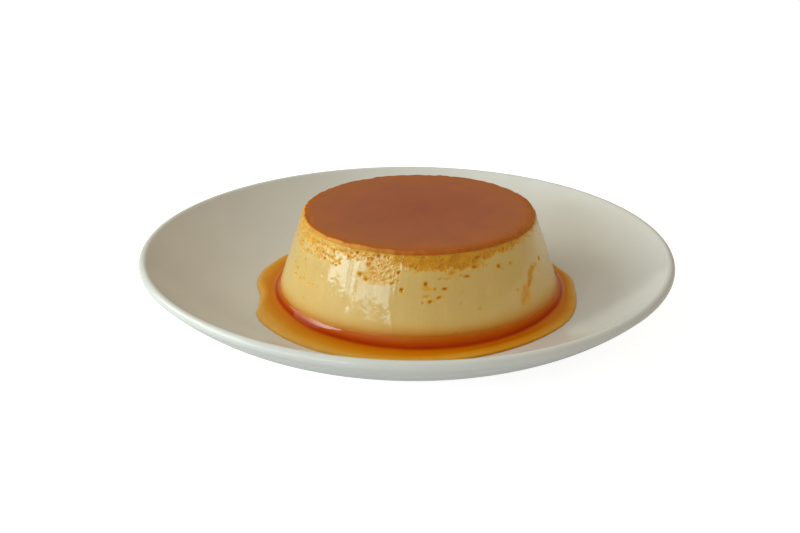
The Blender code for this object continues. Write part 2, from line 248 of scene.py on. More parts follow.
# Lower edge of the caramel-stained band under the layer: direction, height in millimetres
BAND_EDGE = (
    (-172.0, 25.4), (-163.6, 25.2), (-150.0, 25.0), (-141.6, 25.0), (-133.0, 25.6), (-126.0, 26.6),
    (-118.0, 27.5), (-104.0, 27.4), (-98.0, 25.4), (-93.6, 24.7), (-84.3, 24.5), (-74.0, 23.4),
    (-66.0, 24.2), (-61.9, 25.2), (-52.9, 26.1), (-46.0, 26.5), (-38.3, 27.3), (-32.7, 27.9),
    (-20.0, 28.1), (15.0, 27.8), (45.0, 26.2), (70.0, 24.8), (95.0, 25.4), (120.0, 26.9),
    (145.0, 25.8), (168.0, 25.0),
)
# How strong the stain of the band is: direction, share
BAND_STRENGTH = (
    (-172.0, 0.50), (-150.0, 0.48), (-130.0, 0.36), (-116.0, 0.36), (-103.0, 0.66), (-95.0, 1.00),
    (-60.0, 0.95), (-40.0, 0.85), (-15.0, 0.70), (40.0, 0.80), (80.0, 0.95), (120.0, 0.60),
    (160.0, 0.75),
)
# Round patches of honeycomb: direction, height in millimetres, radius in millimetres
HONEYCOMB_PATCHES = (
    (-109.8, 22.6, 3.3), (-105.4, 22.2, 3.2), (-102.4, 24.4, 3.4), (-107.0, 25.6, 3.6), (-158.0, 24.0, 2.4),
    (-139.0, 24.2, 2.2), (118.0, 21.5, 3.4), (113.0, 23.4, 3.0), (18.0, 22.5, 3.4),
)
HONEYCOMB_CELL = 0.00085
HONEYCOMB_DEPTH = 0.00010
# Distance from the axis at which the side's unevenness is read
NOISE_RADIUS = 0.045
# Raggedness of the band's edge, of its darker top and of the soaked foot: size, height in millimetres
BAND_RAGGEDNESS = ((0.0042, 0.9), (0.0014, 0.7))
UNDER_RAGGEDNESS = ((0.002, 0.5),)
SOAK_RAGGEDNESS = ((0.008, 1.0), (0.002, 0.4))
# Where they fade in, in millimetres: the band about its edge, its darker top, the dents up the side
BAND_FADE = (-0.35, 0.55)
UNDER_LAYER = (27.4, 28.5)
DENTS_FADE = (6.0, 12.0)
# Walls between honeycomb cells, and how much of their relief is lost under the layer
CELL_WALL = (0.06, 0.34)
CELLS_LOST_AT_TOP = 0.6
BLOTCH_SIZE = 0.0021
BLOTCH_SHIFT = Vector((7.0, 3.0, 1.0))
# Stain of the band: all over, in blotches, between cells; of a patch: all over, between cells, in
# blotches; just under the layer: all over, with the band's strength
BAND_TINT = (0.30, 0.38, 0.22)
PATCH_TINT = (0.16, 0.40, 0.30)
UNDER_TINT = (0.16, 0.50)
# A patch: radius in millimetres of the side that it lies on, raggedness, fading inside and outside
PATCH_SIDE_RADIUS = 42.5
PATCH_RAGGEDNESS = 0.9
PATCH_FADE = (1.1, 0.3)
# Stained streaks where the skin tore: upper end, lower end (direction, height in millimetres),
# width in millimetres, how brown, depth as a share of the usual
TORN_STREAKS = (
    ((-28.4, 18.3), (-33.8, 17.8), 2.2, 0.55, 0.5),
    ((-32.6, 18.2), (-37.6, 13.4), 3.6, 0.70, 0.6),
    ((-38.4, 13.4), (-42.8, 9.4), 5.0, 0.58, 0.5),
    ((-136.8, 24.9), (-127.2, 23.4), 1.0, 0.55, 0.7),
    ((-153.6, 27.0), (-144.6, 26.4), 1.5, 0.60, 0.5),
    ((-115.8, 21.2), (-107.0, 19.9), 2.2, 0.50, 0.2),
    ((-107.0, 19.8), (-99.0, 21.2), 1.8, 0.34, 0.1),
    ((-149.0, 27.4), (-132.0, 26.8), 1.6, 0.62, 0.4),
    ((-131.0, 27.6), (-121.0, 26.2), 1.4, 0.55, 0.3),
    ((-120.0, 27.9), (-108.0, 27.6), 1.6, 0.60, 0.4),
    ((-108.0, 27.6), (-104.0, 24.6), 1.5, 0.55, 0.4),
    ((55.0, 17.0), (50.0, 10.0), 1.6, 0.55, 0.9),
    ((141.0, 16.0), (147.0, 9.5), 1.4, 0.50, 0.8),
)
# Form of a streak: wobble and its bends, how wide it is and how much its knots vary that, taper at
# its ends, raggedness, how far it reaches, and where its brown begins to fade, ends and is mottled
TEAR_WOBBLE = 0.25
TEAR_BENDS = 4.0
TEAR_KNOTS = 5.0
TEAR_KNOT_SHIFT = 9.0
TEAR_WIDTH = (0.75, 0.7)
TEAR_TAPER = (0.16, 0.74)
TEAR_RAGGEDNESS = 0.45
TEAR_RAGGED_SIZE = 0.0009
TEAR_SHIFT = 0.0007
TEAR_REACH = 1.7
TEAR_BROWN = (0.3, 1.6)
TEAR_MOTTLE = (0.85, 0.5)
# Shallow upright dents that the mould's side left: direction, half width in degrees, depth
UPRIGHT_DENTS = (
    (-119.6, 1.6, 0.00012), (-128.0, 1.2, 0.00005), (-109.5, 1.3, 0.00006), (-98.5, 0.9, 0.00002),
    (-134.0, 1.4, 0.00007), (-62.0, 2.5, 0.00006), (-12.0, 2.0, 0.00010), (38.0, 2.4, 0.00010),
    (96.0, 2.0, 0.00012), (158.0, 2.2, 0.00010),
)
# Upright marks that the mould left: depth, size round and up the side
MOULD_MARKS = ((0.000026, 0.0012, 0.006), (0.00006, 0.0036, 0.020))
# Grain and slow swells of the side: size, depth
SIDE_GRAIN = ((0.0011, 0.000013), (0.007, 0.00007))
# Rounding of the foot's edge: inset, height
FOOT_TURN = ((0.0003, 0.0003), (0.0008, 0.0))
# How far the syrup has soaked up the foot: direction, height in millimetres, strength
SOAK_REACH = (
    (-170.0, 8.6, 0.80), (-140.0, 8.6, 0.75), (-115.0, 9.2, 0.88), (-92.0, 10.0, 1.0), (-65.0, 10.4, 1.0),
    (-45.0, 10.8, 0.95), (-25.0, 11.4, 0.90), (0.0, 11.0, 0.90), (60.0, 9.6, 0.90), (120.0, 9.0, 0.75),
)
# The soaked foot in millimetres: how far past its reach the last trace goes, and where it is full
SOAK_TRACE = 1.5
SOAK_FULL_BELOW = 4.9
SOAK_POWER = 1.75

# How pale the caramel layer's edge is: direction, share
EDGE_PALENESS = (
    (-175.0, 1.0), (-145.0, 0.95), (-118.0, 0.55), (-88.0, 0.08), (-50.0, 0.12), (-10.0, 0.35), (60.0, 0.6),
    (120.0, 0.7),
)
# Folds in the skin of the caramel layer: two ends as (direction, distance from the axis), width, depth
LAYER_FOLDS = (
    ((161.5, 0.0386), (158.9, 0.0359), 0.0011, 0.00030),
    ((158.9, 0.0359), (153.5, 0.0346), 0.0010, 0.00024),
    ((-167.6, 0.0376), (-158.0, 0.0388), 0.0010, 0.00026),
    ((40.0, 0.0372), (48.0, 0.0366), 0.0010, 0.00014),
)

# The layer's side, as shares of its thickness
LAYER_SIDE = (0.6, 0.75, 0.9, 1.0)
# Slow swells of the layer's top: size, depth
TOP_SWELLS = ((0.009, 0.00006), (0.003, 0.00003))
# Sag of its edge: depth, size, share of the radius from which it sags
EDGE_SAG = 0.00016
EDGE_SAG_SIZE = 0.0035
EDGE_SAG_FROM = 0.93
# Bites in its back edge: depth, share of the radius from which they show, raggedness, and how far
# round to the back they begin and are full
BITE_DEPTH = 0.00060
BITE_FROM = 0.955
BITE_RAGGEDNESS = ((0.0052, 1.0), (0.0019, 0.6))
BITE_SIDE = (0.2, 0.9)
# How fast the ragged edge fades towards the middle
NOTCH_POWER = 6
# How deep into the rounding the top sinks, and how deep its own tone goes
SINK_REACH = 1.1
TOP_TONE_REACH = 0.8
# Fading of the tone: size and height, share on the top and on the edge; the edge's darkest tone
TONE_FADING = ((0.004, 0.5), (0.0015, 0.5))
FADING_ON_TOP = 0.012
FADING_ON_EDGE = 0.2
EDGE_TONE = 0.985

# Tone of the sauce from pale to dark: by the distance from the custard, and by that from the edge; the dark
# line near the custard's foot is partly the syrup's deeper colour and partly painted shade
TONE_FROM_CUSTARD = (
    (-0.0008, 0.60), (0.0000, 0.74), (0.0009, 0.86), (0.0014, 0.97), (0.0017, 1.0), (0.0020, 0.94),
    (0.0025, 0.74), (0.0031, 0.58), (0.0042, 0.49), (0.0060, 0.42), (0.0075, 0.34), (0.0095, 0.20),
)
# Near the edge the tone first darkens in a thin ring: painted shade at the edge's curve, not the syrup's
# colour
TONE_FROM_EDGE = ((0.0, 0.45), (0.0002, 0.32), (0.0005, 0.13), (0.0014, 0.20), (0.0030, 0.34), (0.0045, 1.0))
# How wide the dark line round the custard's foot is, partly painted shade where the custard meets the pool:
# direction, share of the widest
DARK_LINE_WIDTH = (
    (-172.0, 0.45), (-150.0, 0.50), (-130.0, 0.75), (-95.0, 1.0), (-70.0, 0.95), (-50.0, 0.74),
    (-20.0, 0.42), (10.0, 0.40), (60.0, 0.60), (110.0, 0.75), (150.0, 0.55),
)
DARK_LINE_REACH = 0.0042
# How much the syrup that climbs the foot shines: direction, share; and the heights where that begins
CLIMB_SHINE = (
    (-178.0, 0.06), (-150.0, 0.10), (-138.0, 0.26), (-128.0, 0.95), (-117.0, 0.52), (-101.0, 0.42),
    (-90.0, 0.10), (-40.0, 0.05), (0.0, 0.06), (60.0, 0.30), (120.0, 0.30),
)
SHINE_HEIGHT = (0.0012, 0.0016)
# Painted shadow of the custard on the open pool: direction, tone added; and the distances where that begins
POOL_PAINTED_SHADOW = (
    (-160.0, 0.0), (-110.0, 0.01), (-92.0, 0.02), (-76.0, 0.05), (-60.0, 0.14), (-45.0, 0.08),
    (-20.0, 0.03), (30.0, 0.0), (120.0, 0.0),
)
POOL_SHADOW_DISTANCE = (0.0020, 0.0040)
# Unevenness of the pool's edge and of the syrup's climb: height, size
POOL_WOBBLE = 0.00018
POOL_WOBBLE_SIZE = 0.05
CLIMB_WOBBLE = 0.14
CLIMB_WOBBLE_SIZE = 0.14
# The climb's curve: spacing of its points, steepness, clearance from the custard at the top and added
# below it, and how fast that is reached
CLIMB_SPACING = 1.4
CLIMB_POWER = 4.2
CLIMB_CLEARANCE = 0.00012
CLIMB_CLEARANCE_BELOW = 0.0003
CLIMB_CLEARANCE_RATE = 5.0
BED_GAP = GAP / 4
BED_SHARES = (0.3, 0.65, 1.0)

# Colours: (place, colour) stops
GLAZE_TONES = ((0.30, (0.765, 0.765, 0.725)), (0.70, (0.805, 0.805, 0.770)))
BARE_CLAY_TONES = ((0.35, (0.56, 0.53, 0.47)), (0.65, (0.68, 0.65, 0.59)))
BARE_CLAY_ROUGHNESS = 0.75
# Custard, from clean to stained brown, and from dry to soaked with syrup
CUSTARD_STAIN_TONES = (
    (0.00, (0.790, 0.540, 0.170)),
    (0.20, (0.800, 0.500, 0.090)),
    (0.42, (0.810, 0.400, 0.018)),
    (0.68, (0.700, 0.280, 0.003)),
    (1.00, (0.450, 0.150, 0.000)),
)
CUSTARD_SOAK_TONES = (
    (0.00, (0.770, 0.530, 0.150)),
    (0.50, (0.700, 0.345, 0.030)),
    (1.00, (0.620, 0.170, 0.000)),
)
# How much of the custard's wet film a full stain and a full soak take away
FILM_LOST_TO_STAIN = 0.85
FILM_LOST_TO_SOAK = 1.6
# Caramel layer, from its middle to its edge, and how much its mottling darkens it
LAYER_TONES = (
    (0.00, (0.400, 0.099, 0.037)),
    (0.60, (0.425, 0.118, 0.043)),
    (0.90, (0.455, 0.132, 0.034)),
    (0.960, (0.465, 0.128, 0.010)),
    (0.985, (0.490, 0.100, 0.000)),
    (1.00, (0.830, 0.400, 0.040)),
)
LAYER_SHADES = ((0.30, (0.90, 0.88, 0.86)), (0.70, (1.06, 1.05, 1.04)))
# Syrup, from thin to deep; its darker tones also carry painted shade and a painted shadow
SYRUP_TONES = (
    (0.00, (0.780, 0.520, 0.160)),
    (0.15, (0.770, 0.420, 0.080)),
    (0.30, (0.740, 0.310, 0.012)),
    (0.50, (0.670, 0.190, 0.000)),
    (0.70, (0.570, 0.105, 0.000)),
    (0.85, (0.500, 0.060, 0.000)),
    (1.00, (0.400, 0.032, 0.000)),
)
# Range of the mottling's tone that roughness follows
MOTTLE_SPAN = (0.3, 0.7)
# Heights between which the plate's foot goes from glazed to bare
BARE_FOOT = (0.00035, 0.00015)

# Studio: the camera fitted to the photo, a wide window to its left, one further round, and a soft sky
CAMERA_TARGET = Vector((PUDDING_X, PUDDING_Y, 0.0090))
CAMERA_DISTANCE = 0.38676
CAMERA_HEIGHT_ANGLE = 23.175
CAMERA_PAN = 0.965
CAMERA_TILT = 0.899
CAMERA_ROLL = -0.168
LENS = 49.5
SENSOR_WIDTH = 36.0
COOL_DAYLIGHT = (0.80, 1.0, 1.10)
WARM_DAYLIGHT = (0.93, 0.98, 0.91)
# Panes of soft daylight: bearing to the left of the camera, distance, how far left of that they start
# and end, sill, top, brightness, tint
WINDOW_PANES = (
    (22.0, 1.0, -0.02, 0.66, 0.215, 0.58, 3.5, COOL_DAYLIGHT),
    (22.0, 1.0, 0.73, 1.95, 0.215, 0.58, 5.3, COOL_DAYLIGHT),
    (96.0, 1.0, -0.45, 0.44, 0.24, 0.95, 3.5, WARM_DAYLIGHT),
)
SKY_LOW = (0.210, 0.185, 0.145)
SKY_HIGH = (0.570, 0.530, 0.445)
BACKDROP = (1.0, 1.0, 1.0)
GROUND_TONE = (0.60, 0.60, 0.60)
GROUND_HALF_WIDTH = 4.0
GROUND_GLOW = 0.16
GROUND_GLOW_SEEN = 0.80


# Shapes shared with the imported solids

def rounded(centre, radius, start, end, steps):
    """Points of an arc in the profile plane, from one angle in degrees to another."""
    angles = [math.radians(start + (end - start) * i / steps) for i in range(steps + 1)]
    return [(centre[0] + radius * math.cos(a), centre[1] + radius * math.sin(a)) for a in angles]


def lip_edge():
    """Where the well's surface ends, half the lip's thickness inside and below the rim's crest."""
    slope = math.radians(LIP_SLOPE)
    half = LIP_THICKNESS / 2
    return RIM_RADIUS - half * math.sin(slope), RIM_HEIGHT - half * (1.0 - math.cos(slope))


def well_arc():
    """Radius and opening angle of the arc from the flat floor to the lip."""
    radius, height = lip_edge()
    run = radius - FLOOR_RADIUS
    angle = 2 * math.atan2(height - FLOOR_HEIGHT, run)
    return run / math.sin(angle), angle


WELL_RADIUS, WELL_OPENING = well_arc()


def rim_share(radius):
    """How far a place is on the way from the foot to the rim, from 0 to 1."""
    return max(0.0, (radius - FOOT_RADIUS) / (RIM_RADIUS - FOOT_RADIUS))


def rim_lift(direction, share):
    """How far the rim stands out of level at a direction and a share of the way out to it."""
    rise = RIM_RISE * math.cos(direction - math.radians(RIM_HIGH_SIDE))
    turn = math.remainder(direction - math.radians(RIM_DIP_SIDE), math.tau)
    dip = math.cos(min(1.0, abs(turn) / math.radians(RIM_DIP_REACH)) * math.pi / 2) ** 2
    return rise * share - RIM_DIP * dip * share ** 3


def rim_widening(direction):
    """How far the rim stands out of round at a direction."""
    return sum(
        height * math.cos(lobes * (direction - math.radians(first))) for lobes, height, first in RIM_LOBES
    )


def rim_centre():
    """Middle of the uneven rim's extent along X and Y."""
    outer = RIM_RADIUS + LIP_THICKNESS / 2
    xs = []
    ys = []
    for step in range(PACKED_STEPS):
        direction = math.tau * step / PACKED_STEPS
        reach = outer + rim_widening(direction)
        xs.append(reach * math.cos(direction))
        ys.append(reach * math.sin(direction))
    return (min(xs) + max(xs)) / 2, (min(ys) + max(ys)) / 2


def well_height(x, y):
    """Height of the plate's upper surface."""
    radius = math.hypot(x, y)
    out = max(0.0, radius - FLOOR_RADIUS)
    curve = WELL_RADIUS - math.sqrt(WELL_RADIUS ** 2 - out ** 2)
    return FLOOR_HEIGHT + curve + rim_lift(math.atan2(y, x), rim_share(radius))


def side_radius(height, direction):
    """Distance of the pudding's side from its axis at a height above the floor."""
    share = height / PUDDING_HEIGHT
    cone = PUDDING_FOOT_RADIUS + (PUDDING_TOP_RADIUS - PUDDING_FOOT_RADIUS) * share
    place = Vector((cone * math.cos(direction), cone * math.sin(direction), height)) / SIDE_WAVE_SIZE
    return cone + SIDE_WAVE * noise.noise(place)


def edge_notch(direction, height):
    """How far the ragged top edge stands in or out at a direction and a height."""
    place = Vector((math.cos(direction), math.sin(direction), 0.0)) * PUDDING_TOP_RADIUS
    coarse = EDGE_WAVE * noise.noise(place / EDGE_WAVE_SIZE)
    deep = NIBBLE_DEPTH + NIBBLE_VARIATION * math.sin(direction)
    nibble = place / NIBBLE_SIZE + Vector((0.0, 0.0, height / NIBBLE_HEIGHT))
    return coarse + deep * noise.noise(nibble)


def on_the_plate(point):
    """Place a pudding point in the world and lift it clear of the well."""
    x = point.x + PUDDING_X
    y = point.y + PUDDING_Y
    return Vector((x, y, max(point.z + FLOOR_HEIGHT, well_height(x, y)) + GAP))


def within_half_turn(degrees):
    """The same direction, given between -180 and 180 degrees."""
    return (degrees + 180.0) % 360.0 - 180.0


def along_round(table, degrees):
    """Smooth value at a direction, on a closed curve through a table of (direction, value)."""
    degrees = within_half_turn(degrees)
    count = len(table)
    after = next((i for i, (angle, _) in enumerate(table) if angle > degrees), 0)
    near = [table[(after + offset) % count] for offset in (-2, -1, 0, 1)]
    span = (near[2][0] - near[1][0]) % 360.0
    share = ((degrees - near[1][0]) % 360.0) / span
    values = [value for _, value in near]
    slope_in = (values[2] - values[0]) * span / ((near[2][0] - near[0][0]) % 360.0)
    slope_out = (values[3] - values[1]) * span / ((near[3][0] - near[1][0]) % 360.0)
    square = share * share
    cube = square * share
    return (
        (2 * cube - 3 * square + 1) * values[1]
        + (cube - 2 * square + share) * slope_in
        + (3 * square - 2 * cube) * values[2]
        + (cube - square) * slope_out
    )


def between(low, high, value):
    """Smooth step from 0 at one value to 1 at the other."""
    share = min(1.0, max(0.0, (value - low) / (high - low)))
    return share * share * (3.0 - 2.0 * share)


def on_slope(stops, value):
    """Value on straight runs between (place, value) stops."""
    for (low, first), (high, second) in zip(stops, stops[1:]):
        if value <= high:
            share = max(0.0, (value - low) / (high - low))
            return first + (second - first) * share
    return stops[-1][1]


def layered_noise(place, layers):
    """Unevenness at a place, summed over layers of (size, height)."""
    return sum(height * noise.noise(place / size) for size, height in layers)


# Making pieces

def skin(name, rings, looped=False):
    """Join rings of points, which run down the outer side, into one closed smooth surface."""
    points = []
    starts = []
    for ring in rings:
        starts.append(len(points))
        points.extend(ring)
    faces = []
    for upper in range(len(rings) if looped else len(rings) - 1):
        lower = (upper + 1) % len(rings)
        high = len(rings[upper])
        low = len(rings[lower])
        turns = max(high, low)
        for turn in range(turns):
            after = (turn + 1) % turns
            corners = (
                starts[lower] + turn % low,
                starts[lower] + after % low,
                starts[upper] + after % high,
                starts[upper] + turn % high,
            )
            faces.append(tuple(dict.fromkeys(corners)))
    mesh = bpy.data.meshes.new(name)
    mesh.from_pydata(points, [], faces)
    mesh.shade_smooth()
    piece = bpy.data.objects.new(name, mesh)
    bpy.context.scene.collection.objects.link(piece)
    return piece


def note_on(piece, name, values):
    """Keep one number for each point of the piece, for its material to read."""
    piece.data.attributes.new(name, "FLOAT", "POINT").data.foreach_set("value", values)


def dress(piece, material, node):
    """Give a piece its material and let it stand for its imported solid."""
    piece.data.materials.append(material)
    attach(piece, "root")
    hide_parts(node)


def plate_profile():
    """Half section of the plate as (radius, height), from the well over the lip to the underside."""
    centre = (FLOOR_RADIUS, FLOOR_HEIGHT + WELL_RADIUS)
    opening = math.degrees(WELL_OPENING)
    lip_middle = WELL_RADIUS + LIP_THICKNESS / 2
    lip_centre = (
        centre[0] + lip_middle * math.sin(WELL_OPENING),
        centre[1] - lip_middle * math.cos(WELL_OPENING),
    )
    floor = [(FLOOR_RADIUS * step / FLOOR_STEPS, FLOOR_HEIGHT) for step in range(1, FLOOR_STEPS)]
    well = rounded(centre, WELL_RADIUS, -90.0, -90.0 + opening, WELL_STEPS)
    lip = rounded(lip_centre, LIP_THICKNESS / 2, 90.0 + opening, -90.0 + opening, LIP_STEPS)
    outer_radius = WELL_RADIUS + LIP_THICKNESS
    foot_angle = math.degrees(math.asin((FOOT_RADIUS + FOOT_HEIGHT - FLOOR_RADIUS) / outer_radius))
    outside = rounded(centre, outer_radius, -90.0 + opening, -90.0 + foot_angle, OUTSIDE_STEPS)
    foot_inside = FOOT_RADIUS - FOOT_WIDTH
    outer_turn = (FOOT_RADIUS - FOOT_ROUNDING, FOOT_ROUNDING)
    inner_turn = (foot_inside + FOOT_ROUNDING, FOOT_ROUNDING)
    foot = (
        rounded(outer_turn, FOOT_ROUNDING, 0.0, -90.0, FOOT_STEPS)
        + rounded(inner_turn, FOOT_ROUNDING, -90.0, -180.0, FOOT_STEPS)
        + [
            (foot_inside - FOOT_ROUNDING / 3, FOOT_HEIGHT - FOOT_ROUNDING),
            (foot_inside - FOOT_ROUNDING, FOOT_HEIGHT),
            (foot_inside / 2, FOOT_HEIGHT),
        ]
    )
    return floor + well + lip[1:-1] + outside + foot


def make_plate():
    """Porcelain plate, turned from its half section, a little out of round and out of level."""
    shift_x, shift_y = rim_centre()
    rings = [[Vector((0.0, 0.0, FLOOR_HEIGHT))]]
    for radius, height in plate_profile():
        ring = []
        for step in range(PLATE_TURNS):
            direction = math.tau * step / PLATE_TURNS
            share = rim_share(radius)
            out = radius + rim_widening(direction) * share
            ring.append(Vector((
                out * math.cos(direction) - shift_x * share,
                out * math.sin(direction) - shift_y * share,
                height + rim_lift(direction, share),
            )))
        rings.append(ring)
    rings.append([Vector((0.0, 0.0, FOOT_HEIGHT))])
    plate = skin("porcelain_plate", rings)
    dress(plate, porcelain_glaze(), "plate")


class CustardSide:
    """The custard's side unrolled: how far each point stands in or out and how stained it is."""

    def __init__(self):
        self.top = LAYER_BOTTOM
        self.low = FOOT_EDGE_ROUNDING
        self.rise = (self.top - self.low) / (CUSTARD_ROWS - 1)
        self.relief = [[0.0] * CUSTARD_TURNS for _ in range(CUSTARD_ROWS)]
        self.stain = [[0.0] * CUSTARD_TURNS for _ in range(CUSTARD_ROWS)]
        self.soak = [[0.0] * CUSTARD_TURNS for _ in range(CUSTARD_ROWS)]

    def height(self, row):
        """Height of a row above the pudding's foot."""
        return self.top - self.rise * row

    def direction(self, turn):
        """Direction of a turn, in radians."""
        return math.tau * turn / CUSTARD_TURNS - math.pi

    def near(self, degrees, height, reach):
        """Rows and turns within a reach of a place, each with its offsets along and up the side."""
        radius = PUDDING_FOOT_RADIUS + (PUDDING_TOP_RADIUS - PUDDING_FOOT_RADIUS) * height / PUDDING_HEIGHT
        middle = (math.radians(degrees) + math.pi) / math.tau * CUSTARD_TURNS
        spread = int(reach / radius / math.tau * CUSTARD_TURNS) + 1
        first = max(0, int((self.top - height - reach) / self.rise))
        last = min(CUSTARD_ROWS - 1, int((self.top - height + reach) / self.rise) + 1)
        for row in range(first, last + 1):
            up = self.height(row) - height
            for turn in range(int(middle) - spread, int(middle) + spread + 2):
                along = (turn - middle) / CUSTARD_TURNS * math.tau * radius
                yield row, turn % CUSTARD_TURNS, along, up

    def press(self, degrees, height, wide, high, slant, depth, brown):
        """Press one burst bubble into the side; its sizes are those of its mouth."""
        tilt = math.radians(slant)
        cosine = math.cos(tilt)
        sine = math.sin(tilt)
        for row, turn, along, up in self.near(degrees, height, max(wide, high)):
            across = (along * cosine - up * sine) / (wide / 2)
            rising = (along * sine + up * cosine) / (high / 2)
            place = Vector((along, up, degrees * MOUTH_SHIFT)) / MOUTH_RAGGED_SIZE
            far = math.hypot(across, rising) * (1.0 + MOUTH_RAGGEDNESS * noise.noise(place))
            if far < MOUTH_REACH:
                bowl = max(0.0, 1.0 - far * far)
                lip = math.exp(-((far - MOUTH_LIP) / MOUTH_LIP_WIDTH) ** 2)
                self.relief[row][turn] += depth * (MOUTH_LIP_HEIGHT * lip - bowl)
                core = 1.0 - between(*BROWN_CORE, far)
                halo = HALO_SHARE * (1.0 - between(*BROWN_HALO, far))
                self.stain[row][turn] = max(self.stain[row][turn], brown * max(core, halo))

    def tear(self, upper, lower, wide, brown, depth):
        """Open a ragged stained streak between two places."""
        for step in range(TEAR_STEPS + 1):
            share = step / TEAR_STEPS
            degrees = upper[0] + (lower[0] - upper[0]) * share
            height = (upper[1] + (lower[1] - upper[1]) * share) * MM
            wobble = TEAR_WOBBLE * wide * noise.noise(Vector((share * TEAR_BENDS, upper[0], 0.0)))
            knot = noise.noise(Vector((share * TEAR_KNOTS, upper[0], TEAR_KNOT_SHIFT)))
            swell = TEAR_WIDTH[0] + TEAR_WIDTH[1] * knot
            taper = math.sin(math.pi * (TEAR_TAPER[0] + TEAR_TAPER[1] * share)) ** 0.5
            full = wide * swell * taper
            for row, turn, along, up in self.near(degrees, height, full):
                place = Vector((along + degrees * TEAR_SHIFT, up + height, upper[0]))
                rough = noise.noise(place / TEAR_RAGGED_SIZE)
                far = math.hypot(along - wobble, up) / (full / 2) * (1.0 + TEAR_RAGGEDNESS * rough)
                if far < TEAR_REACH:
                    dip = -depth * max(0.0, 1.0 - far * far)
                    self.relief[row][turn] = min(self.relief[row][turn], dip)
                    mottle = TEAR_MOTTLE[0] + TEAR_MOTTLE[1] * rough
                    tint = brown * (1.0 - between(*TEAR_BROWN, far)) * mottle
                    self.stain[row][turn] = max(self.stain[row][turn], tint)

    def spread_band(self):
        """Stain under the layer and its honeycomb, the syrup at the foot, and the side's soft waves."""
        bearings = [math.degrees(self.direction(turn)) for turn in range(CUSTARD_TURNS)]
        reaches = tuple((angle, height) for angle, height, _ in SOAK_REACH)
        strengths = tuple((angle, strength) for angle, _, strength in SOAK_REACH)
        edges = [along_round(BAND_EDGE, degrees) for degrees in bearings]
        shares = [along_round(BAND_STRENGTH, degrees) for degrees in bearings]
        soaks = [along_round(reaches, degrees) for degrees in bearings]
        wetness = [along_round(strengths, degrees) for degrees in bearings]
        dents = [self.dent(degrees) for degrees in bearings]
        for row in range(CUSTARD_ROWS):
            height = self.height(row)
            level = height * MM_IN_METRE
            for turn, degrees in enumerate(bearings):
                direction = self.direction(turn)
                x = math.cos(direction) * NOISE_RADIUS
                y = math.sin(direction) * NOISE_RADIUS
                place = Vector((x, y, height))
                ragged = layered_noise(place, BAND_RAGGEDNESS)
                inside = between(*BAND_FADE, level - edges[turn] + ragged)
                patch = self.patch(degrees, level, ragged)
                near_top = between(*UNDER_LAYER, level + layered_noise(place, UNDER_RAGGEDNESS))
                self.relief[row][turn] += dents[turn] * between(*DENTS_FADE, level)
                self.relief[row][turn] += self.drag(x, y, height)
                if inside > 0.0 or patch > 0.0:
                    self.comb(row, turn, place, inside, patch, shares[turn], near_top)
                under = near_top * (UNDER_TINT[0] + UNDER_TINT[1] * min(1.0, shares[turn]))
                self.stain[row][turn] = max(self.stain[row][turn], under)
                trace = soaks[turn] + layered_noise(place, SOAK_RAGGEDNESS) + SOAK_TRACE
                wet = min(1.0, max(0.0, (trace - level) / (trace - SOAK_FULL_BELOW))) ** SOAK_POWER
                self.soak[row][turn] = wet * wetness[turn]

    def comb(self, row, turn, place, inside, patch, strength, near_top):
        """Honeycomb relief and stain at one point of the band or of a patch."""
        cells = noise.voronoi(place / HONEYCOMB_CELL)[0]
        wall = between(*CELL_WALL, cells[1] - cells[0])
        kept = 1.0 - CELLS_LOST_AT_TOP * near_top
        self.relief[row][turn] -= HONEYCOMB_DEPTH * max(inside, patch) * wall * kept
        blotch = 0.5 + 0.5 * noise.noise(place / BLOTCH_SIZE + BLOTCH_SHIFT)
        plain, blotched, walled = BAND_TINT
        tint = inside * strength * (plain + blotched * blotch + walled * (1.0 - wall))
        plain, walled, blotched = PATCH_TINT
        rim = patch * (plain + walled * (1.0 - wall) * blotch + blotched * max(0.0, blotch - 0.5))
        self.stain[row][turn] = max(self.stain[row][turn], tint, rim)

    def dent(self, degrees):
        """Depth of the upright dents at a direction."""
        return sum(
            -depth * math.exp(-(within_half_turn(degrees - at) / half) ** 2)
            for at, half, depth in UPRIGHT_DENTS
        )

    def patch(self, degrees, level, ragged):
        """Share of honeycomb patch at a place."""
        best = 0.0
        for at, height, radius in HONEYCOMB_PATCHES:
            along = math.radians(within_half_turn(degrees - at)) * PATCH_SIDE_RADIUS
            far = math.hypot(along, level - height) + PATCH_RAGGEDNESS * ragged
            best = max(best, 1.0 - between(radius - PATCH_FADE[0], radius + PATCH_FADE[1], far))
        return best

    def drag(self, x, y, height):
        """Upright lines left by the mould as the pudding slid out, with the side's grain and swells."""
        lines = sum(
            depth * noise.noise(Vector((x / across, y / across, height / upright)))
            for depth, across, upright in MOULD_MARKS
        )
        return lines + layered_noise(Vector((x, y, height)), SIDE_GRAIN)

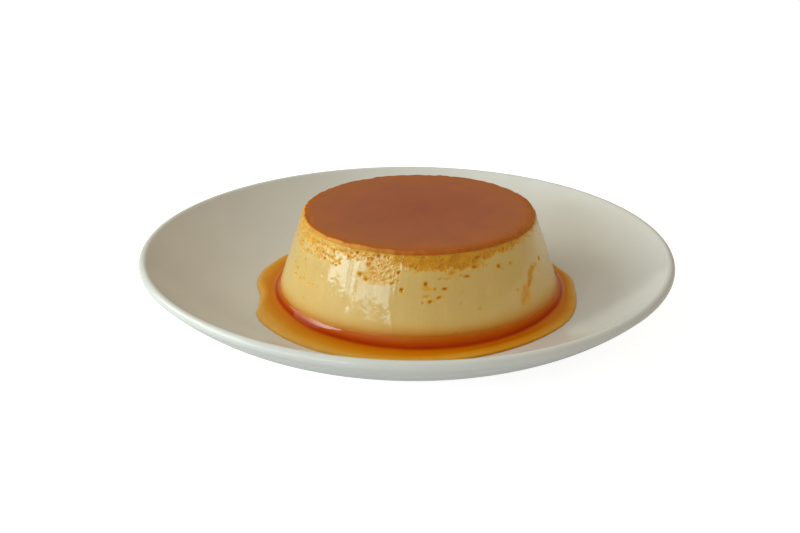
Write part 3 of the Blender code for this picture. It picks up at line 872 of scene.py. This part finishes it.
    def burst_bubbles(self):
        """Press all the burst bubbles, then open the torn streaks."""
        for degrees, level, wide, high, slant, depth, brown in SEEN_BUBBLES:
            self.press(degrees, level * MM, wide * MM, high * MM, slant, depth * BUBBLE_DEPTH, brown)
        draw = random.Random(SEED)
        for middle, level, spread, level_spread, count in FAR_BUBBLES:
            for _ in range(count):
                wide = draw.uniform(*FAR_WIDTH)
                self.press(
                    middle + spread * draw.uniform(-1.0, 1.0),
                    (level + level_spread * draw.uniform(-1.0, 1.0)) * MM,
                    wide,
                    wide * draw.uniform(*FAR_FLATNESS),
                    draw.uniform(*FAR_SLANT),
                    BUBBLE_DEPTH * draw.uniform(*FAR_DEPTH),
                    draw.uniform(*FAR_BROWN),
                )
        for start, end, low, high, count, brown in FINE_BUBBLES:
            for _ in range(count):
                wide = draw.uniform(*FINE_WIDTH)
                self.press(
                    draw.uniform(start, end),
                    draw.uniform(low, high) * MM,
                    wide,
                    wide * draw.uniform(*FINE_FLATNESS),
                    draw.uniform(*FINE_SLANT),
                    wide * (FINE_DEPTH[0] + FINE_DEPTH[1] * brown),
                    brown * draw.uniform(*FINE_BROWN),
                )
        for upper, lower, wide, brown, depth in TORN_STREAKS:
            self.tear(upper, lower, wide * MM, brown, depth * BUBBLE_DEPTH)


def make_custard():
    """Custard with its relief; keeps how stained and how soaked each point is."""
    side = CustardSide()
    side.spread_band()
    side.burst_bubbles()
    directions = [side.direction(turn) for turn in range(CUSTARD_TURNS)]

    def flat_ring(share, height):
        """Ring of a flat face, at a share of the side's radius."""
        middle = Vector((0.0, 0.0, height))
        facings = [Vector((math.cos(direction), math.sin(direction), 0.0)) for direction in directions]
        return [
            on_the_plate(facing * side_radius(height, direction) * share + middle)
            for facing, direction in zip(facings, directions)
        ]

    rings = [[on_the_plate(Vector((0.0, 0.0, side.top)))], flat_ring(INNER_RING, side.top)]
    stain = [0.0] * (1 + CUSTARD_TURNS)
    soak = [0.0] * (1 + CUSTARD_TURNS)
    for row in range(CUSTARD_ROWS):
        height = side.height(row)
        top_share = between(RAGGED_FROM, LAYER_BOTTOM, height)
        kept = 1.0 - between(LAYER_BOTTOM - RELIEF_FADE, LAYER_BOTTOM, height)
        ring = []
        for turn, direction in enumerate(directions):
            out = side.relief[row][turn] * kept + edge_notch(direction, height) * top_share
            reach = side_radius(height, direction) + out * math.cos(SIDE_LEAN)
            lift = out * math.sin(SIDE_LEAN) if 0 < row else 0.0
            ring.append(on_the_plate(Vector((
                reach * math.cos(direction), reach * math.sin(direction), height + lift,
            ))))
        rings.append(ring)
        stain.extend(side.stain[row])
        soak.extend(side.soak[row])
    for inset, height in FOOT_TURN:
        rings.append(flat_ring(1.0 - inset / PUDDING_FOOT_RADIUS, height))
    rings.append(flat_ring(INNER_RING, 0.0))
    rings.append([on_the_plate(Vector((0.0, 0.0, 0.0)))])
    underside = (len(FOOT_TURN) + 1) * CUSTARD_TURNS + 1
    stain.extend([0.0] * underside)
    soak.extend([1.0] * underside)
    custard = skin("baked_custard", rings)
    note_on(custard, "caramel_stain", stain)
    note_on(custard, "syrup_soak", soak)
    dress(custard, custard_finish(), "custard")


def fold_depth(point):
    """How deep the folds of the layer's skin are at a point."""
    depth = 0.0
    for (first_degrees, first_reach), (second_degrees, second_reach), wide, deep in LAYER_FOLDS:
        first = Vector((math.cos(math.radians(first_degrees)), math.sin(math.radians(first_degrees))))
        second = Vector((math.cos(math.radians(second_degrees)), math.sin(math.radians(second_degrees))))
        first *= first_reach
        second *= second_reach
        run = second - first
        share = min(1.0, max(0.0, (point - first).dot(run) / run.length_squared))
        far = (point - first - run * share).length / (wide / 2)
        depth += deep * math.exp(-far * far)
    return depth


def layer_sink(direction, share, spot):
    """How far the layer's top lies low: slow swells, its sagging edge, bites at the back, and folds."""
    place = Vector((math.cos(direction), math.sin(direction), 0.0)) * PUDDING_TOP_RADIUS
    sink = sum(depth * (1.0 + noise.noise(spot / size)) for size, depth in TOP_SWELLS)
    sink += EDGE_SAG * between(EDGE_SAG_FROM, 1.0, share) * (1.0 + noise.noise(place / EDGE_SAG_SIZE))
    bite = max(0.0, layered_noise(place, BITE_RAGGEDNESS))
    sink += BITE_DEPTH * between(BITE_FROM, 1.0, share) * bite * between(*BITE_SIDE, math.sin(direction))
    return sink + fold_depth(Vector((spot.x, spot.y)))


def make_caramel_layer():
    """Caramel layer with its uneven edge; keeps how near its edge each point is."""
    flat = PUDDING_TOP_RADIUS - LAYER_ROUNDING
    edge = (flat, PUDDING_HEIGHT - LAYER_ROUNDING)
    inner = [flat * (step / LAYER_RINGS) ** LAYER_RING_SPACING for step in range(1, LAYER_RINGS)]
    profile = [(radius, PUDDING_HEIGHT) for radius in inner]
    profile += rounded(edge, LAYER_ROUNDING, 90.0, 0.0, LAYER_EDGE_STEPS)
    profile += [(PUDDING_TOP_RADIUS, PUDDING_HEIGHT - LAYER_THICKNESS * share) for share in LAYER_SIDE]
    profile += [(PUDDING_TOP_RADIUS * INNER_RING, LAYER_BOTTOM)]
    rings = [[on_the_plate(Vector((0.0, 0.0, PUDDING_HEIGHT)))]]
    edge_tone = [0.0]
    for radius, height in profile:
        share = radius / PUDDING_TOP_RADIUS
        ring = []
        for step in range(LAYER_TURNS):
            direction = math.tau * step / LAYER_TURNS
            notch = edge_notch(direction, height) * share ** NOTCH_POWER
            reach = side_radius(height, direction) * share + notch
            spot = Vector((math.cos(direction), math.sin(direction), 0.0)) * reach
            sinks = height > PUDDING_HEIGHT - LAYER_ROUNDING * SINK_REACH
            sink = layer_sink(direction, share, spot) if sinks else 0.0
            ring.append(on_the_plate(Vector((spot.x, spot.y, height - sink))))
            fade = layered_noise(spot, TONE_FADING)
            on_top = height >= PUDDING_HEIGHT - LAYER_ROUNDING * TOP_TONE_REACH
            tone = share + FADING_ON_TOP * fade if on_top else 1.0
            pale = along_round(EDGE_PALENESS, math.degrees(direction)) + FADING_ON_EDGE * fade
            edge_tone.append(min(tone, EDGE_TONE + (1.0 - EDGE_TONE) * pale))
        rings.append(ring)
    rings.append([on_the_plate(Vector((0.0, 0.0, LAYER_BOTTOM)))])
    edge_tone.append(1.0)
    layer = skin("caramel_layer_top", rings)
    note_on(layer, "layer_edge", edge_tone)
    dress(layer, caramel_layer_finish(), "caramel_layer")


def sauce_section(direction):
    """Closed section of the pool: up the custard, over the meniscus, out to the edge and back below.

    Gives its points, how dark each one is and how much it shines as it climbs the custard.
    """
    degrees = math.degrees(direction)
    facing = Vector((math.cos(direction), math.sin(direction), 0.0))
    edge = along_round(POOL_EDGE, degrees) + POOL_WOBBLE * noise.noise(facing / POOL_WOBBLE_SIZE)
    level = FLOOR_HEIGHT + SAUCE_LEVEL
    foot = side_radius(SAUCE_LEVEL, direction)
    climb = MENISCUS_RISE * (1.0 + CLIMB_WOBBLE * noise.noise(facing / CLIMB_WOBBLE_SIZE))
    line = along_round(DARK_LINE_WIDTH, degrees)
    shine = along_round(CLIMB_SHINE, degrees)
    # Painted shadow of the custard on the open pool, as a tone to add
    pool_shadow = along_round(POOL_PAINTED_SHADOW, degrees)
    points = []
    tones = []
    climbs = []

    def world(distance, height):
        x = PUDDING_X + distance * math.cos(direction)
        y = PUDDING_Y + distance * math.sin(direction)
        return Vector((x, y, height))

    def bed(distance):
        at = world(distance, 0.0)
        return well_height(at.x, at.y) + BED_GAP

    def add(distance, height):
        points.append(world(distance, height))
        climbs.append(shine * between(*SHINE_HEIGHT, height - level))
        # Tone: the syrup's colour by its thickness, with painted shade in the dark line at the custard's
        # foot and at the pool's edge
        out = distance - foot
        in_line = out < DARK_LINE_REACH * line
        squeezed = out / line if in_line else out + DARK_LINE_REACH * (1.0 - line)
        tone = min(on_slope(TONE_FROM_CUSTARD, squeezed), on_slope(TONE_FROM_EDGE, edge - distance))
        # The painted shadow darkens the open pool's tone
        tones.append(min(1.0, tone + pool_shadow * between(*POOL_SHADOW_DISTANCE, out)))

    add(side_radius(SAUCE_LEVEL + climb, direction) - GAP, level + climb)
    for step in range(CLIMB_STEPS + 1):
        share = (step / CLIMB_STEPS) ** CLIMB_SPACING
        rise = climb * (1.0 - share) ** CLIMB_POWER
        clearance = CLIMB_CLEARANCE + CLIMB_CLEARANCE_BELOW * min(1.0, share * CLIMB_CLEARANCE_RATE)
        side = side_radius(SAUCE_LEVEL + rise, direction) + clearance
        add(side + MENISCUS_REACH * share, level + rise)
    last = points[-1]
    start = math.hypot(last.x - PUDDING_X, last.y - PUDDING_Y)
    begin = max(edge - SAUCE_EDGE_ROUNDING, start)
    for step in range(1, POOL_STEPS):
        add(start + (begin - start) * step / POOL_STEPS, level)
    for step in range(POOL_EDGE_STEPS + 1):
        share = math.sin(math.pi / 2 * step / POOL_EDGE_STEPS)
        distance = begin + (edge - begin) * share
        low = bed(distance)
        add(distance, low + max(level - low, SAUCE_FILM) * math.sqrt(max(0.0, 1.0 - share * share)))
    for share in BED_SHARES:
        distance = edge - SAUCE_FILM + (foot - GAP - edge + SAUCE_FILM) * share
        points.append(world(distance, bed(distance)))
        tones.append(1.0)
        climbs.append(0.0)
    return points, tones, climbs


def make_sauce():
    """Pool of syrup; keeps how dark it is and how it climbs the custard."""
    sections = [sauce_section(math.tau * step / SAUCE_TURNS) for step in range(SAUCE_TURNS)]
    rings = [list(ring) for ring in zip(*(points for points, _, _ in sections))]
    tone = [value for ring in zip(*(tones for _, tones, _ in sections)) for value in ring]
    climb = [value for ring in zip(*(climbs for _, _, climbs in sections)) for value in ring]
    sauce = skin("caramel_syrup_pool", rings, looped=True)
    note_on(sauce, "syrup_tone", tone)
    note_on(sauce, "syrup_climb", climb)
    dress(sauce, syrup_finish(), "caramel_sauce")


# Materials

def add_node(tree, kind, settings=None, inputs=None):
    """Place a shader node; an input is a number, a colour or another node's output."""
    made = tree.nodes.new(kind)
    for name, value in (settings or {}).items():
        setattr(made, name, value)
    for name, value in (inputs or {}).items():
        if isinstance(value, bpy.types.NodeSocket):
            tree.links.new(value, made.inputs[name])
        else:
            made.inputs[name].default_value = value
    return made


def add_ramp(tree, factor, stops):
    """Colour ramp through (place, colour) stops."""
    made = add_node(tree, "ShaderNodeValToRGB", inputs={"Fac": factor})
    elements = made.color_ramp.elements
    while len(elements) < len(stops):
        elements.new(1.0)
    for element, (place, colour) in zip(elements, stops):
        element.position = place
        element.color = (*colour, 1.0)
    return made.outputs["Color"]


def add_mix(tree, kind, blend, factor, first, second):
    """Mix two values or two colours; gives the result's output."""
    made = add_node(tree, "ShaderNodeMix", {"data_type": kind, "blend_type": blend})
    wanted = {"Factor": factor, "A": first, "B": second}
    for socket in made.inputs:
        if not socket.enabled or socket.name not in wanted:
            continue
        value = wanted[socket.name]
        if isinstance(value, bpy.types.NodeSocket):
            tree.links.new(value, socket)
        else:
            socket.default_value = value
    return next(socket for socket in made.outputs if socket.enabled)


def add_math(tree, operation, *values, clamp=False):
    """Sum, product or the like of numbers and outputs; gives the result's output."""
    settings = {"operation": operation, "use_clamp": clamp}
    return add_node(tree, "ShaderNodeMath", settings, dict(enumerate(values))).outputs["Value"]


def add_range(tree, value, low, high, first, last):
    """Value carried from one range over to another and held at its ends; gives the result's output."""
    return add_node(tree, "ShaderNodeMapRange", inputs={
        "Value": value, "From Min": low, "From Max": high, "To Min": first, "To Max": last,
    }).outputs["Result"]


def set_bump(tree, shader, height, strength, distance):
    """Fine relief of a surface."""
    bump = add_node(tree, "ShaderNodeBump", inputs={
        "Strength": strength, "Distance": distance, "Height": height,
    })
    tree.links.new(bump.outputs["Normal"], shader.inputs["Normal"])


def set_values(shader, values):
    """Give a shader the values that are the same all over its surface."""
    for name, value in values.items():
        shader.inputs[name].default_value = value


def note_of(tree, name):
    """Output of a number kept on the piece's points."""
    return add_node(tree, "ShaderNodeAttribute", {"attribute_name": name}).outputs["Fac"]


def new_finish(name):
    """A new material, its node tree and its shader."""
    material = bpy.data.materials.new(name)
    material.use_nodes = True
    return material, material.node_tree, material.node_tree.nodes["Principled BSDF"]


def mottling_group():
    """Slow and fine unevenness that the glaze, the custard, the caramel and the syrup share."""
    name = "soft mottling"
    if name in bpy.data.node_groups:
        return bpy.data.node_groups[name]
    group = bpy.data.node_groups.new(name, "ShaderNodeTree")
    for label, value in (("Patch Scale", 90.0), ("Grain Scale", 900.0), ("Grain Share", 0.35)):
        socket = group.interface.new_socket(label, in_out="INPUT", socket_type="NodeSocketFloat")
        socket.default_value = value
    group.interface.new_socket("Tone", in_out="OUTPUT", socket_type="NodeSocketFloat")
    group.interface.new_socket("Grain", in_out="OUTPUT", socket_type="NodeSocketFloat")
    entry = add_node(group, "NodeGroupInput")
    place = add_node(group, "ShaderNodeTexCoord").outputs["Object"]
    patches = add_node(group, "ShaderNodeTexNoise", inputs={
        "Vector": place, "Scale": entry.outputs["Patch Scale"], "Detail": 4.0, "Roughness": 0.55,
    })
    grain = add_node(group, "ShaderNodeTexNoise", inputs={
        "Vector": place, "Scale": entry.outputs["Grain Scale"], "Detail": 3.0, "Roughness": 0.6,
    })
    tone = add_mix(
        group, "FLOAT", "MIX", entry.outputs["Grain Share"], patches.outputs["Fac"], grain.outputs["Fac"]
    )
    leave = add_node(group, "NodeGroupOutput")
    group.links.new(tone, leave.inputs["Tone"])
    group.links.new(grain.outputs["Fac"], leave.inputs["Grain"])
    return group


def add_mottling(tree, patch_scale, grain_scale, grain_share):
    """Place the shared mottling with a material's own values."""
    return add_node(tree, "ShaderNodeGroup", {"node_tree": mottling_group()}, {
        "Patch Scale": patch_scale, "Grain Scale": grain_scale, "Grain Share": grain_share,
    })


def mottled_note(tree, name, mottle, span):
    """A number kept on the piece's points, made slightly uneven, and held between 0 and 1."""
    uneven = add_math(tree, "MULTIPLY_ADD", mottle.outputs["Tone"], span, -span / 2)
    return add_math(tree, "ADD", note_of(tree, name), uneven, clamp=True)


def set_roughness(tree, shader, mottle, smooth, rough):
    """Roughness that follows the mottling."""
    roughness = add_range(tree, mottle.outputs["Tone"], *MOTTLE_SPAN, smooth, rough)
    tree.links.new(roughness, shader.inputs["Roughness"])


def porcelain_glaze():
    """Smooth off-white glaze, with bare clay under the foot."""
    material, tree, shader = new_finish("white porcelain glaze")
    mottle = add_mottling(tree, patch_scale=45.0, grain_scale=1400.0, grain_share=0.25)
    glaze = add_ramp(tree, mottle.outputs["Tone"], GLAZE_TONES)
    clay = add_ramp(tree, mottle.outputs["Grain"], BARE_CLAY_TONES)
    height = add_node(tree, "ShaderNodeSeparateXYZ", inputs={
        "Vector": add_node(tree, "ShaderNodeTexCoord").outputs["Object"],
    }).outputs["Z"]
    bare = add_range(tree, height, *BARE_FOOT, first=0.0, last=1.0)
    tree.links.new(add_mix(tree, "RGBA", "MIX", bare, glaze, clay), shader.inputs["Base Color"])
    smooth = add_range(tree, mottle.outputs["Tone"], *MOTTLE_SPAN, first=0.10, last=0.17)
    roughness = add_mix(tree, "FLOAT", "MIX", bare, smooth, BARE_CLAY_ROUGHNESS)
    tree.links.new(roughness, shader.inputs["Roughness"])
    set_bump(tree, shader, mottle.outputs["Tone"], strength=0.25, distance=0.0002)
    set_values(shader, {"Specular IOR Level": 0.5})
    return material


def custard_finish():
    """Moist set custard; its wet film is dull where it is stained or soaked."""
    material, tree, shader = new_finish("baked custard")
    mottle = add_mottling(tree, patch_scale=160.0, grain_scale=1500.0, grain_share=0.45)
    stained = mottled_note(tree, "caramel_stain", mottle, span=0.16)
    soak = note_of(tree, "syrup_soak")
    body = add_ramp(tree, stained, CUSTARD_STAIN_TONES)
    wet = add_ramp(tree, soak, CUSTARD_SOAK_TONES)
    tree.links.new(add_mix(tree, "RGBA", "MIX", soak, body, wet), shader.inputs["Base Color"])
    set_roughness(tree, shader, mottle, smooth=0.36, rough=0.50)
    moist = add_range(tree, mottle.outputs["Tone"], low=0.35, high=0.60, first=0.45, last=0.95)
    unstained = add_math(tree, "MULTIPLY_ADD", stained, -FILM_LOST_TO_STAIN, 1.0)
    unsoaked = add_math(tree, "MULTIPLY_ADD", soak, -FILM_LOST_TO_SOAK, 1.0, clamp=True)
    film = add_math(tree, "MULTIPLY", add_math(tree, "MULTIPLY", moist, unsoaked), unstained, clamp=True)
    tree.links.new(film, shader.inputs["Coat Weight"])
    set_bump(tree, shader, mottle.outputs["Grain"], strength=0.35, distance=0.00012)
    set_values(shader, {
        "Coat Roughness": 0.07,
        "Coat IOR": 1.62,
        "Specular IOR Level": 0.3,
        "Subsurface Weight": 0.25,
        "Subsurface Radius": (1.0, 0.55, 0.2),
        "Subsurface Scale": 0.0022,
    })
    return material


def caramel_layer_finish():
    """Soft brown caramel, mottled, with a paler orange edge."""
    material, tree, shader = new_finish("soft caramel layer")
    mottle = add_mottling(tree, patch_scale=120.0, grain_scale=1100.0, grain_share=0.35)
    body = add_ramp(tree, note_of(tree, "layer_edge"), LAYER_TONES)
    shade = add_ramp(tree, mottle.outputs["Tone"], LAYER_SHADES)
    tree.links.new(add_mix(tree, "RGBA", "MULTIPLY", 1.0, body, shade), shader.inputs["Base Color"])
    set_roughness(tree, shader, mottle, smooth=0.50, rough=0.66)
    set_bump(tree, shader, mottle.outputs["Grain"], strength=0.3, distance=0.0001)
    set_values(shader, {"Specular IOR Level": 0.32})
    return material


def syrup_finish():
    """Thin wet syrup, darker where it is deep and where painted shade is held in its tone, and glossiest
    where it climbs the custard.
    """
    material, tree, shader = new_finish("thin caramel syrup")
    mottle = add_mottling(tree, patch_scale=110.0, grain_scale=700.0, grain_share=0.3)
    body = add_ramp(tree, mottled_note(tree, "syrup_tone", mottle, span=0.14), SYRUP_TONES)
    tree.links.new(body, shader.inputs["Base Color"])
    set_roughness(tree, shader, mottle, smooth=0.05, rough=0.10)
    set_bump(tree, shader, mottle.outputs["Tone"], strength=0.12, distance=0.0002)
    wet = add_range(tree, note_of(tree, "syrup_climb"), 0.0, 1.0, 0.0, 1.0)
    tree.links.new(wet, shader.inputs["Coat Weight"])
    set_values(shader, {
        "IOR": 1.34, "Specular IOR Level": 0.10, "Coat IOR": 1.75, "Coat Roughness": 0.04,
    })
    return material


# Studio

def make_camera():
    """Camera at the photograph's angle."""
    rise = math.radians(CAMERA_HEIGHT_ANGLE)
    back = Vector((0.0, -math.cos(rise), math.sin(rise)))
    ahead = -back
    right = Vector((1.0, 0.0, 0.0))
    up = right.cross(ahead)
    pan = Matrix.Rotation(math.radians(CAMERA_PAN), 3, up)
    ahead = pan @ ahead
    right = pan @ right
    tilt = Matrix.Rotation(math.radians(CAMERA_TILT), 3, right)
    ahead = tilt @ ahead
    up = tilt @ up
    roll = Matrix.Rotation(math.radians(CAMERA_ROLL), 3, ahead)
    right = roll @ right
    up = roll @ up
    data = bpy.data.cameras.new("camera")
    data.lens = LENS
    data.sensor_width = SENSOR_WIDTH
    data.clip_start = 0.01
    camera = bpy.data.objects.new("camera", data)
    bpy.context.scene.collection.objects.link(camera)
    place = Matrix((right, up, -ahead)).transposed().to_4x4()
    place.translation = CAMERA_TARGET + back * CAMERA_DISTANCE
    camera.matrix_world = place
    bpy.context.scene.camera = camera


def make_window():
    """Upright panes of soft daylight, left of the camera."""
    for number, (bearing, distance, start, end, sill, top, brightness, tint) in enumerate(WINDOW_PANES):
        angle = math.radians(-90.0 - bearing)
        outward = Vector((math.cos(angle), math.sin(angle), 0.0))
        leftward = Vector((outward.y, -outward.x, 0.0))
        data = bpy.data.lights.new(f"window_pane_{number}", "AREA")
        data.shape = "RECTANGLE"
        data.size = end - start
        data.size_y = top - sill
        data.color = tint
        data.energy = brightness * math.pi * data.size * data.size_y
        pane = bpy.data.objects.new(f"window_pane_{number}", data)
        bpy.context.scene.collection.objects.link(pane)
        middle = outward * distance + leftward * (start + end) / 2
        middle.z = (sill + top) / 2
        turn = Matrix((-leftward, Vector((0.0, 0.0, 1.0)), outward)).transposed().to_4x4()
        pane.matrix_world = Matrix.Translation(middle) @ turn


def make_sky():
    """Even light, brighter from above, before a white backdrop."""
    world = bpy.data.worlds.new("studio")
    bpy.context.scene.world = world
    world.use_nodes = True
    tree = world.node_tree
    tree.nodes.clear()
    up = add_node(tree, "ShaderNodeSeparateXYZ", inputs={
        "Vector": add_node(tree, "ShaderNodeTexCoord").outputs["Generated"],
    }).outputs["Z"]
    sky = add_ramp(tree, up, ((0.0, SKY_LOW), (1.0, SKY_HIGH)))
    soft = add_node(tree, "ShaderNodeBackground", inputs={"Color": sky, "Strength": 1.0})
    seen = add_node(tree, "ShaderNodeBackground", inputs={"Color": (*BACKDROP, 1.0), "Strength": 1.0})
    camera_ray = add_node(tree, "ShaderNodeLightPath").outputs["Is Camera Ray"]
    mix = add_node(tree, "ShaderNodeMixShader", inputs={
        0: camera_ray, 1: soft.outputs["Background"], 2: seen.outputs["Background"],
    })
    leave = add_node(tree, "ShaderNodeOutputWorld")
    tree.links.new(mix.outputs["Shader"], leave.inputs["Surface"])


def make_floor():
    """Plain pale floor that glows a little, so that its shadows stay soft."""
    mesh = bpy.data.meshes.new("floor")
    half = GROUND_HALF_WIDTH
    corners = [(-half, -half, 0.0), (half, -half, 0.0), (half, half, 0.0), (-half, half, 0.0)]
    mesh.from_pydata(corners, [], [(0, 1, 2, 3)])
    floor = bpy.data.objects.new("floor", mesh)
    bpy.context.scene.collection.objects.link(floor)
    material, tree, shader = new_finish("pale floor")
    set_values(shader, {
        "Base Color": (*GROUND_TONE, 1.0),
        "Roughness": 0.9,
        "Specular IOR Level": 0.1,
        "Emission Strength": 1.0,
    })
    camera_ray = add_node(tree, "ShaderNodeLightPath").outputs["Is Camera Ray"]
    glow = add_ramp(tree, camera_ray, ((0.0, (GROUND_GLOW,) * 3), (1.0, (GROUND_GLOW_SEEN,) * 3)))
    tree.links.new(glow, shader.inputs["Emission Color"])
    mesh.materials.append(material)


make_camera()
make_window()
make_sky()
make_floor()
make_plate()
make_custard()
make_caramel_layer()
make_sauce()
bpy.context.scene.view_settings.view_transform = "Standard"
